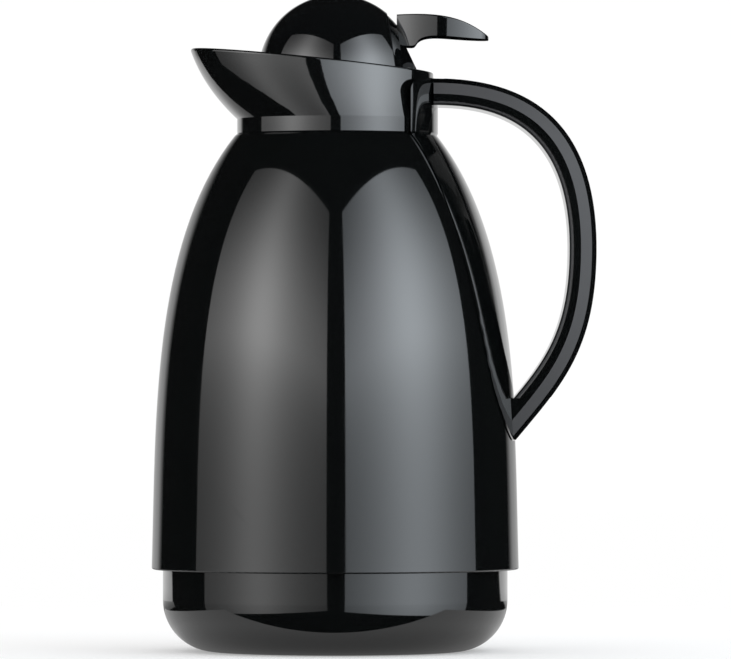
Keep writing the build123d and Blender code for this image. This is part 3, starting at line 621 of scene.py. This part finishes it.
FINISHES: tuple[Finish, ...] = (
    GlossPlastic(Slot.GLOSS_BLACK, *BODY_TINTS),
    BellGloss(Slot.BELL_BLACK, *BODY_TINTS),
    BeveledGloss(Slot.GRIP_BLACK, *BODY_TINTS),
    GlossPlastic(Slot.LID_BLACK, *LID_TINTS, depth=LID_WAVES),
    LeverGloss(Slot.LEVER_BLACK, *LID_TINTS, depth=LID_WAVES),
    SatinPlastic(Slot.SATIN_BLACK, (0.010, 0.011, 0.012), (0.016, 0.017, 0.018)),
    SilveredGlass(Slot.SILVERED_GLASS, (0.62, 0.62, 0.60), (0.88, 0.89, 0.90)),
    DrawnSteel(Slot.STEEL, (0.50, 0.50, 0.49), (0.64, 0.64, 0.65)),
    SoftRubber(Slot.GREY_RUBBER, (0.24, 0.25, 0.26), (0.33, 0.34, 0.35)),
    PressedFelt(Slot.SPACER_FELT, (0.36, 0.33, 0.28), (0.60, 0.57, 0.50)),
)


class Wardrobe:
    """The materials of the carafe, made once each."""

    def __init__(self) -> None:
        """Builds every finish."""
        self.materials = {finish.slot: finish.material() for finish in FINISHES}

    def dress(self, piece: bpy.types.Object, slot: Slot) -> None:
        """Gives a piece one finish.

        Args:
            piece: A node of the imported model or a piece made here.
            slot: The finish.
        """
        material = self.materials[slot]
        if not piece.material_slots:
            piece.data.materials.append(material)
        for place in piece.material_slots:
            place.material = material
        log.info("%s is finished in %s", piece.name, slot.value)

    def dress_node(self, name: str, slot: Slot) -> None:
        """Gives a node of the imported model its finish."""
        self.dress(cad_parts[name], slot)


# --- pieces made here -----------------------------------------------------------------
def new_plate(width: float, depth: float) -> bmesh.types.BMesh:
    """Makes a shape of one level face, with its middle at the origin.

    Args:
        width: Its size along X.
        depth: Its size along Y.

    Returns:
        The shape.
    """
    shape = bmesh.new()
    bmesh.ops.create_grid(shape, x_segments=1, y_segments=1, size=0.5)
    bmesh.ops.scale(shape, vec=(width, depth, 1.0), verts=shape.verts)
    return shape


def stand_up(shape: bmesh.types.BMesh) -> None:
    """Turns what points to the back of the carafe upwards."""
    bmesh.ops.rotate(shape, matrix=Matrix.Rotation(pi / 2, 3, "X"), verts=shape.verts)


def new_object(name: str, shape: bmesh.types.BMesh) -> bpy.types.Object:
    """Turns a shape into an object of the scene.

    Args:
        name: The object's name.
        shape: The shape, which is freed.

    Returns:
        The object, at the origin.
    """
    mesh = bpy.data.meshes.new(name)
    shape.to_mesh(mesh)
    shape.free()
    made = bpy.data.objects.new(name, mesh)
    bpy.context.scene.collection.objects.link(made)
    return made


def new_piece(name: str, shape: bmesh.types.BMesh, smooth_below: float = 40.0) -> bpy.types.Object:
    """Turns a shape into a piece of the scene.

    Args:
        name: The piece's name.
        shape: The shape, which is freed.
        smooth_below: Edges flatter than this many degrees are shaded smooth.

    Returns:
        The piece, at the origin.
    """
    bmesh.ops.recalc_face_normals(shape, faces=shape.faces)
    for face in shape.faces:
        face.smooth = True
    for edge in shape.edges:
        if edge.is_manifold and edge.calc_face_angle() > radians(smooth_below):
            edge.smooth = False
    made = new_object(name, shape)
    log.info("%s has %d faces", name, len(made.data.polygons))
    return made


@dataclass(frozen=True)
class TorsionSpring:
    """Coil round a pin that lies along Y, with one leg up and one leg down."""

    name: str
    centre: Vector
    coil_radius: float
    half_length: float
    leg_top: float
    leg_foot: float
    wire_radius: float = 0.31 * MM
    turns: int = 5
    steps: int = 36              # in one turn
    sides: int = 12

    def build(self) -> bpy.types.Object:
        """Winds the coil and draws both legs.

        Returns:
            The spring.
        """
        shape = bmesh.new()
        start = self.centre + Vector((-self.coil_radius, self.half_length, 0.0))
        section = bmesh.ops.create_circle(
            shape,
            cap_ends=True,
            segments=self.sides,
            radius=self.wire_radius,
            matrix=Matrix.Translation(start),
        )
        foot = section["verts"][0].link_faces[0]
        total = self.turns * self.steps
        wound = bmesh.ops.spin(
            shape,
            geom=[foot],
            cent=self.centre,
            axis=(0.0, -1.0, 0.0),
            dvec=(0.0, -2 * self.half_length / total, 0.0),
            angle=2 * pi * self.turns,
            steps=total,
        )
        end = [item for item in wound["geom_last"] if isinstance(item, bmesh.types.BMFace)]
        self._draw_leg(shape, end, self.leg_foot - self.centre.z)
        first = min(
            (face for face in shape.faces if len(face.verts) == self.sides),
            key=lambda face: (face.calc_center_median() - start).length,
        )
        self._draw_leg(shape, [first], self.leg_top - self.centre.z)
        return new_piece(self.name, shape)

    def _draw_leg(
        self, shape: bmesh.types.BMesh, end: list[bmesh.types.BMFace], run: float
    ) -> None:
        """Pulls an end of the wire straight up, or down where the run is below zero."""
        tip = bmesh.ops.extrude_discrete_faces(shape, faces=end)["faces"][0]
        bmesh.ops.translate(shape, vec=(0.0, 0.0, run), verts=tip.verts)


@dataclass(frozen=True)
class PanScrew:
    """Pan-head screw with a cross recess, its head on the far side of its seat."""

    seat: Vector                 # centre of the head's flat side
    direction: Vector            # from the head to the tip
    head_radius: float
    head_height: float
    shank_radius: float
    length: float
    tip_share: float = 0.92      # of the shank's radius
    rim_share: float = 0.6       # of the head's height, which is rounded off
    rim_steps: int = 4
    slot_share: float = 0.52     # of the head's radius
    slot_width: float = 0.64 * MM
    slot_depth: float = 0.9 * MM
    segments: int = 32

    def add_to(self, shape: bmesh.types.BMesh) -> None:
        """Adds the screw to a shape.

        Args:
            shape: The shape that holds all screws of its kind.
        """
        turn = Vector((0.0, 0.0, 1.0)).rotation_difference(self.direction).to_matrix().to_4x4()
        place = Matrix.Translation(self.seat) @ turn
        self._add_head(shape, place)
        bmesh.ops.create_cone(
            shape,
            cap_ends=True,
            segments=self.segments,
            radius1=self.shank_radius,
            radius2=self.shank_radius * self.tip_share,
            depth=self.length,
            matrix=place @ Matrix.Translation((0.0, 0.0, self.length / 2)),
        )

    def _add_head(self, shape: bmesh.types.BMesh, place: Matrix) -> None:
        """Adds the rounded head with its cross sunk into it.

        Args:
            shape: The shape that holds all screws of its kind.
            place: Where the screw's own frame stands.
        """
        head = bmesh.new()
        bmesh.ops.create_cone(
            head,
            cap_ends=True,
            segments=self.segments,
            radius1=self.head_radius,
            radius2=self.head_radius,
            depth=self.head_height,
            matrix=Matrix.Translation((0.0, 0.0, -self.head_height / 2)),
        )
        rim = [
            edge
            for edge in head.edges
            if all(corner.co.z < -self.head_height / 2 for corner in edge.verts)
        ]
        bmesh.ops.bevel(
            head,
            geom=rim,
            offset=self.head_height * self.rim_share,
            segments=self.rim_steps,
            profile=0.5,
            affect="EDGES",
            material=-1,
        )
        carved = self._carved(head)
        carved.transform(place)
        shape.from_mesh(carved)
        bpy.data.meshes.remove(carved)

    def _carved(self, head: bmesh.types.BMesh) -> bpy.types.Mesh:
        """Cuts the cross out of a head.

        Args:
            head: The head's shape, which is freed.

        Returns:
            The head with its cross.
        """
        body = new_object("head", head)
        cutters = []
        reach = 2 * self.head_radius * self.slot_share
        for across, deep in ((reach, self.slot_width), (self.slot_width, reach)):
            bar = bmesh.new()
            bmesh.ops.create_cube(bar, size=1.0)
            bmesh.ops.scale(bar, vec=(across, deep, 2 * self.slot_depth), verts=bar.verts)
            bmesh.ops.translate(bar, vec=(0.0, 0.0, -self.head_height), verts=bar.verts)
            cutters.append(new_object("cross", bar))
            cut = body.modifiers.new("cross", "BOOLEAN")
            cut.operation = "DIFFERENCE"
            cut.solver = "EXACT"
            cut.object = cutters[-1]
        bpy.context.view_layer.update()
        scene_state = bpy.context.evaluated_depsgraph_get()
        carved = bpy.data.meshes.new_from_object(body.evaluated_get(scene_state))
        for spare in (body, *cutters):
            mesh = spare.data
            bpy.data.objects.remove(spare)
            bpy.data.meshes.remove(mesh)
        return carved


@dataclass(frozen=True)
class JointRing:
    """Thin flat ring in the joint between the dome and the plate behind it."""

    inner_radius: float = 17.75 * MM
    outer_radius: float = 20.40 * MM
    thickness: float = 0.26 * MM
    cut_distance: float = 23.94 * MM     # middle of the joint from the centre of the dome
    lean: float = 7.9                    # degrees of the joint towards the spout
    steps: int = 96

    def build(self, low: Vector, high: Vector) -> bpy.types.Object:
        """Turns the ring and cuts it off level with the dome's foot.

        Args:
            low: The dome's lowest corner.
            high: Its highest corner.

        Returns:
            The ring.
        """
        ball = (high.y - low.y) / 2
        facing = Matrix.Rotation(radians(-self.lean), 3, "Y") @ Vector((1.0, 0.0, 0.0))
        middle = Vector((low.x + ball, 0.0, high.z - ball)) + facing * self.cut_distance
        shape = new_plate(self.outer_radius - self.inner_radius, self.thickness)
        stand_up(shape)
        across = (self.outer_radius + self.inner_radius) / 2
        bmesh.ops.translate(shape, vec=(across, 0.0, 0.0), verts=shape.verts)
        bmesh.ops.delete(shape, geom=shape.faces[:], context="FACES_ONLY")
        bmesh.ops.spin(
            shape,
            geom=shape.verts[:] + shape.edges[:],
            cent=(0.0, 0.0, 0.0),
            axis=(0.0, 0.0, 1.0),
            angle=2 * pi,
            steps=self.steps,
            use_merge=True,
        )
        turn = Vector((0.0, 0.0, 1.0)).rotation_difference(facing).to_matrix()
        bmesh.ops.rotate(shape, matrix=turn, verts=shape.verts)
        bmesh.ops.translate(shape, vec=middle, verts=shape.verts)
        bmesh.ops.bisect_plane(
            shape,
            geom=shape.verts[:] + shape.edges[:] + shape.faces[:],
            plane_co=(0.0, 0.0, low.z),
            plane_no=(0.0, 0.0, -1.0),
            clear_outer=True,
        )
        bmesh.ops.holes_fill(shape, edges=[edge for edge in shape.edges if edge.is_boundary])
        return new_piece("lid_joint_ring", shape)


def islands(name: str) -> list[tuple[Vector, Vector]]:
    """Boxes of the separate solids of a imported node.

    Args:
        name: The node.

    Returns:
        The lowest and highest corner of each.
    """
    shape = bmesh.new()
    shape.from_mesh(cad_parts[name].data)
    bmesh.ops.remove_doubles(shape, verts=shape.verts, dist=SAME_PLACE)
    boxes = []
    seen = set()
    for start in shape.verts:
        if start in seen:
            continue
        seen.add(start)
        group = [start]
        for corner in group:
            found = [edge.other_vert(corner) for edge in corner.link_edges]
            fresh = [other for other in found if other not in seen]
            seen.update(fresh)
            group.extend(fresh)
        low = Vector(min(corner.co[axis] for corner in group) for axis in range(3))
        high = Vector(max(corner.co[axis] for corner in group) for axis in range(3))
        boxes.append((low, high))
    shape.free()
    return boxes


# --- sub-assemblies -------------------------------------------------------------------
@dataclass
class SubAssembly:
    """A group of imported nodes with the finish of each."""

    wardrobe: Wardrobe
    nodes: dict[str, Slot] = field(default_factory=dict)

    def dress(self) -> None:
        """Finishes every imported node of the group."""
        for name, slot in self.nodes.items():
            self.wardrobe.dress_node(name, slot)

    def build(self) -> None:
        """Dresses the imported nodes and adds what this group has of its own."""
        self.dress()


@dataclass
class OuterBody(SubAssembly):
    """Bell-shaped shell and the cup that closes it below."""

    nodes: dict[str, Slot] = field(
        default_factory=lambda: {"outer_shell": Slot.BELL_BLACK, "base_cup": Slot.GLOSS_BLACK}
    )


@dataclass
class Liner(SubAssembly):
    """Double-walled glass flask with its pads and the gasket round its neck."""

    nodes: dict[str, Slot] = field(
        default_factory=lambda: {
            "liner_outer_flask": Slot.SILVERED_GLASS,
            "liner_inner_flask": Slot.SILVERED_GLASS,
            "liner_spacers": Slot.SPACER_FELT,
            "liner_cushion": Slot.GREY_RUBBER,
            "neck_gasket": Slot.GREY_RUBBER,
        }
    )


@dataclass
class Collar(SubAssembly):
    """Slanted collar that ends in the spout."""

    nodes: dict[str, Slot] = field(default_factory=lambda: {"spout_collar": Slot.GLOSS_BLACK})


@dataclass
class Handle(SubAssembly):
    """Loop handle, the block and strip that carry it, its cover and its screws."""

    nodes: dict[str, Slot] = field(
        default_factory=lambda: {
            "handle_saddle": Slot.GLOSS_BLACK,
            "handle_grip": Slot.GRIP_BLACK,
            "handle_cover": Slot.GLOSS_BLACK,
            "handle_screws": Slot.STEEL,
        }
    )
    screw_head_height: float = 1.5 * MM
    screw_shank_radius: float = 1.4 * MM

    def build(self) -> None:
        """Dresses the handle and cuts the crosses of its screws."""
        self.dress()
        shape = bmesh.new()
        for low, high in islands("handle_screws"):
            middle = (low + high) / 2
            screw = PanScrew(
                seat=Vector((low.x + self.screw_head_height, middle.y, middle.z)),
                direction=Vector((1.0, 0.0, 0.0)),
                head_radius=(high.y - low.y) / 2,
                head_height=self.screw_head_height,
                shank_radius=self.screw_shank_radius,
                length=high.x - low.x - self.screw_head_height,
            )
            screw.add_to(shape)
        screws = new_piece("handle_cross_screws", shape)
        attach(screws, Body.CARAFE.value)
        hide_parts("handle_screws")
        self.wardrobe.dress(screws, Slot.STEEL)


@dataclass
class Stopper(SubAssembly):
    """Screw stopper with its seal, the hinge pin and the lid's spring."""

    nodes: dict[str, Slot] = field(
        default_factory=lambda: {
            "stopper_body": Slot.SATIN_BLACK,
            "stopper_seal": Slot.GREY_RUBBER,
            "hinge_pin": Slot.STEEL,
            "lid_spring": Slot.STEEL,
        }
    )

    def build(self) -> None:
        """Dresses the stopper and winds the spring round its hinge pin."""
        self.dress()
        pin_low, pin_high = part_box("hinge_pin")
        low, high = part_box("lid_spring")
        centre = (Vector(pin_low) + Vector(pin_high)) / 2
        wire = TorsionSpring.wire_radius
        spring = TorsionSpring(
            name="lid_coil_spring",
            centre=centre,
            coil_radius=(high[0] - low[0]) / 2 - wire,
            half_length=(high[1] - low[1]) / 2 - wire,
            leg_top=high[2],
            leg_foot=low[2],
        )
        coil = spring.build()
        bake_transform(coil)
        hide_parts("lid_spring")
        self.wardrobe.dress(coil, Slot.STEEL)


@dataclass
class Lid(SubAssembly):
    """Domed lid with its plug, seal and screws, and the lever that opens it."""

    nodes: dict[str, Slot] = field(
        default_factory=lambda: {
            "lid_dome": Slot.LID_BLACK,
            "thumb_lever": Slot.LEVER_BLACK,
            "lid_plug": Slot.SATIN_BLACK,
            "pour_seal": Slot.GREY_RUBBER,
            "lid_screws": Slot.STEEL,
        }
    )
    screw_shank_radius: float = 1.2 * MM

    def build(self) -> None:
        """Dresses the lid and adds its ring and the crosses of its screws."""
        self.dress()
        self.add_ring()
        self.add_screws()

    def add_ring(self) -> None:
        """Closes the joint behind the dome."""
        low, high = (Vector(corner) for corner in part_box("lid_dome"))
        ring = JointRing().build(low, high)
        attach(ring, Body.LID.value)
        self.wardrobe.dress(ring, Slot.SATIN_BLACK)

    def add_screws(self) -> None:
        """Replaces the screws under the lid by ones with a cross."""
        plug_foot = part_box("pour_seal")[1][2]
        shape = bmesh.new()
        for low, high in islands("lid_screws"):
            middle = (low + high) / 2
            screw = PanScrew(
                seat=Vector((middle.x, middle.y, plug_foot)),
                direction=Vector((0.0, 0.0, 1.0)),
                head_radius=(high.x - low.x) / 2,
                head_height=plug_foot - low.z,
                shank_radius=self.screw_shank_radius,
                length=high.z - plug_foot,
            )
            screw.add_to(shape)
        screws = new_piece("lid_cross_screws", shape)
        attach(screws, Body.LID.value)
        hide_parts("lid_screws")
        self.wardrobe.dress(screws, Slot.STEEL)


# --- studio ---------------------------------------------------------------------------
@dataclass(frozen=True)
class Softbox:
    """A tall diffuser that is brightest round one spot."""

    name: str
    azimuth: float               # degrees from the camera's side, positive towards +X
    half_width: float
    bottom: float
    tint: Colour
    peak_level: float            # radiance at the bright spot
    side_reach: float            # how far from the spot the light halves, sideways,
    rise_reach: float            # upwards
    drop_reach: float            # and downwards
    rise_floor: float            # least share of the light, up or down
    side_floor: float = 0.20     # and sideways
    peak_height: float = 0.50
    top: float = 2.05
    distance: float = 1.5

    def build(self) -> None:
        """Makes the panel and its glow."""
        panel = new_plate(2 * self.half_width, self.top - self.bottom)
        stand_up(panel)
        place = (0.0, -self.distance, (self.top + self.bottom) / 2)
        bmesh.ops.translate(panel, vec=place, verts=panel.verts)
        made = new_object(self.name, panel)
        made.rotation_euler = (0.0, 0.0, radians(self.azimuth))
        made.visible_camera = False
        made.visible_shadow = False
        made.data.materials.append(new_material(self.name, self.glow))

    def glow(self, graph: Graph) -> bpy.types.Node:
        """Adds the diffuser's light.

        Args:
            graph: The panel's graph.

        Returns:
            The light.
        """
        x, _, z = graph.split(graph.place())
        aside = x / self.side_reach
        above = z - self.peak_height
        upward = graph.math("MAXIMUM", above, 0.0) / self.rise_reach
        downward = graph.math("MINIMUM", above, 0.0) / self.drop_reach
        sideways = 1.0 / (1.0 + aside * aside)
        rise = 1.0 / (1.0 + upward * upward + downward * downward)
        share = sideways.raised(self.side_floor) * rise.raised(self.rise_floor)
        return graph.emission(self.tint, self.peak_level * share)


@dataclass
class Studio:
    """Camera, lights, white backdrop and pale floor."""

    camera_place: Triple = (0.0124, -2.83, 0.111)
    camera_pitch: float = 0.42       # degrees up
    camera_reach: float = 50.0       # how far it sees
    lens: float = 340.0
    dark_room: float = 0.008         # what polished walls see beside the lights
    fill: float = 1.2                # what matt walls see
    sweep_near: float = 0.11
    sweep_far: float = 1.2
    sweep_near_side: Pair = (-0.20, 0.02)
    sweep_far_side: Pair = (-1.06, 1.06)
    sweep_height: float = 0.75
    sweep_level: float = 0.64
    sweep_side_fade: Pair = (0.70, 1.12)
    sweep_high_fade: Pair = (0.32, 0.74)
    sweep_shade: Pair = (0.10, 0.95)
    sweep_shade_share: float = 0.20  # of its light near the carafe
    turntable_half: float = 0.14
    turntable_reach: Pair = (-0.072, 0.25)
    turntable_level: float = 0.42
    turntable_shade_share: float = 0.2
    turntable_shade: Pair = (0.045, 0.085)
    floor_radius: float = 3.0
    floor_sides: int = 96
    floor_fade: Pair = (0.16, 0.60)
    floor_grey: float = 0.90
    floor_lift: float = 0.35         # share of plain white in what the camera sees of it

    def build(self) -> None:
        """Sets up everything round the carafe."""
        self.add_camera()
        self.add_world()
        self.add_softboxes()
        self.add_backdrop()
        self.add_turntable()
        self.add_floor()
        bpy.context.scene.view_settings.view_transform = "Standard"

    def add_camera(self) -> None:
        """The long lens that the carafe is seen through."""
        data = bpy.data.cameras.new("camera")
        data.lens = self.lens
        data.clip_end = self.camera_reach
        camera = bpy.data.objects.new("camera", data)
        camera.location = self.camera_place
        camera.rotation_euler = (radians(90.0 + self.camera_pitch), 0.0, 0.0)
        bpy.context.scene.collection.objects.link(camera)
        bpy.context.scene.camera = camera

    def add_world(self) -> None:
        """White for the camera, a plain fill for matt walls and a dark room for polished ones."""
        world = bpy.data.worlds.new("studio")
        bpy.context.scene.world = world
        world.use_nodes = True
        graph = Graph(world.node_tree)
        rays = graph.node("ShaderNodeLightPath")
        seen = Shade(graph, rays.outputs["Is Camera Ray"])
        through = Shade(graph, rays.outputs["Is Transmission Ray"])
        matt = Shade(graph, rays.outputs["Is Diffuse Ray"])
        level = self.dark_room + seen + through + self.fill * matt
        light = graph.node("ShaderNodeBackground", {}, {"Color": WHITE, "Strength": level})
        graph.node("ShaderNodeOutputWorld", {}, {"Surface": light.outputs[0]})

    def add_softboxes(self) -> None:
        """Two tall diffusers, one each side of the camera."""
        left = Softbox(
            name="softbox_left",
            azimuth=-50.5,
            half_width=1.52,
            bottom=-0.50,
            tint=WHITE,
            peak_level=2.25,
            side_reach=0.56,
            rise_reach=0.55,
            drop_reach=0.225,
            rise_floor=0.24,
        )
        right = Softbox(
            name="softbox_right",
            azimuth=52.0,
            half_width=1.525,
            bottom=-0.60,
            tint=(0.93, 1.0, 1.06),
            peak_level=3.0,
            side_reach=0.75,
            rise_reach=0.66,
            drop_reach=0.275,
            rise_floor=0.35,
        )
        left.build()
        right.build()

    def add_card(
        self, name: str, shape: bmesh.types.BMesh, level: Callable[[Graph], Shade]
    ) -> None:
        """Adds a white light that only polished walls see.

        Args:
            name: The card's name.
            shape: Its shape, which is freed.
            level: Gives its radiance from the graph of its material.
        """
        made = new_object(name, shape)
        glow = new_material(name, lambda graph: graph.emission(WHITE, level(graph)))
        made.data.materials.append(glow)
        made.visible_camera = False
        made.visible_diffuse = False
        made.visible_transmission = False
        made.visible_shadow = False

    def sweep_radiance(self, graph: Graph) -> Shade:
        """The sweep's light: strongest behind the carafe, less at its sides and high up.

        Args:
            graph: The sweep's graph.

        Returns:
            The radiance.
        """
        x, _, z = graph.split(graph.place())
        aside = abs(x).between(*self.sweep_side_fade)
        high = z.between(*self.sweep_high_fade)
        lit = graph.off_axis().between(*self.sweep_shade).raised(self.sweep_shade_share)
        return self.sweep_level * lit * (1.0 - aside) * (1.0 - high)

    def turntable_radiance(self, graph: Graph) -> Shade:
        """The plate's light, which the carafe keeps from the middle."""
        lit = graph.off_axis().between(*self.turntable_shade)
        return self.turntable_level * lit.raised(self.turntable_shade_share)

    def add_backdrop(self) -> None:
        """White sweep behind the carafe, which lights the edges of its walls."""
        near, far = self.sweep_near_side, self.sweep_far_side
        sweep = new_plate(near[1] - near[0], 0.0)
        bmesh.ops.remove_doubles(sweep, verts=sweep.verts, dist=SAME_PLACE)
        start = ((near[0] + near[1]) / 2, self.sweep_near, -MM)
        bmesh.ops.translate(sweep, vec=start, verts=sweep.verts)
        depth = self.sweep_far - self.sweep_near
        upright = (0.0, 0.0, self.sweep_height)
        steps = (
            ((far[0] - near[0], depth, 0.0), (far[1] - near[1], depth, 0.0)),
            (upright, upright),
        )
        line = list(sweep.edges)
        for runs in steps:
            drawn = bmesh.ops.extrude_edge_only(sweep, edges=line)["geom"]
            corners = [item for item in drawn if isinstance(item, bmesh.types.BMVert)]
            corners.sort(key=lambda corner: corner.co.x)
            for corner, run in zip(corners, runs):
                bmesh.ops.translate(sweep, vec=run, verts=[corner])
            line = [
                item
                for item in drawn
                if isinstance(item, bmesh.types.BMEdge) and set(item.verts) == set(corners)
            ]
        self.add_card("sweep", sweep, self.sweep_radiance)

    def add_turntable(self) -> None:
        """Dim plate that the underside of the cup sees."""
        near, far = self.turntable_reach
        plate = new_plate(2 * self.turntable_half, far - near)
        bmesh.ops.translate(plate, vec=(0.0, (near + far) / 2, -MM / 2), verts=plate.verts)
        self.add_card("turntable", plate, self.turntable_radiance)

    def add_floor(self) -> None:
        """Pale floor that keeps the shadow and fades into the white round it."""
        disc = bmesh.new()
        bmesh.ops.create_circle(
            disc, cap_ends=True, segments=self.floor_sides, radius=self.floor_radius
        )
        made = new_object("floor", disc)
        made.data.materials.append(new_material("floor", self.floor_surface))
        made.visible_glossy = False

    def floor_surface(self, graph: Graph) -> bpy.types.Node:
        """Adds the floor's paint, and the white that the camera sees in it.

        Args:
            graph: The floor's graph.

        Returns:
            The shader that blends them.
        """
        seen = Shade(graph, graph.node("ShaderNodeLightPath").outputs["Is Camera Ray"])
        white = graph.off_axis().between(*self.floor_fade).raised(self.floor_lift) * seen
        matt = graph.node("ShaderNodeBsdfDiffuse", {}, {"Color": (self.floor_grey,) * 3})
        blend = {0: white, 1: matt.outputs[0], 2: graph.emission(WHITE, 1.0).outputs[0]}
        return graph.node("ShaderNodeMixShader", {}, blend)


def main() -> None:
    """Builds the carafe's sub-assemblies in order and the studio round them."""
    logging.basicConfig(level=logging.INFO, format="%(name)s: %(message)s")
    wardrobe = Wardrobe()
    for group in (OuterBody, Liner, Collar, Handle, Stopper, Lid):
        group(wardrobe).build()
    Studio().build()


if __name__ == "__main__":
    main()
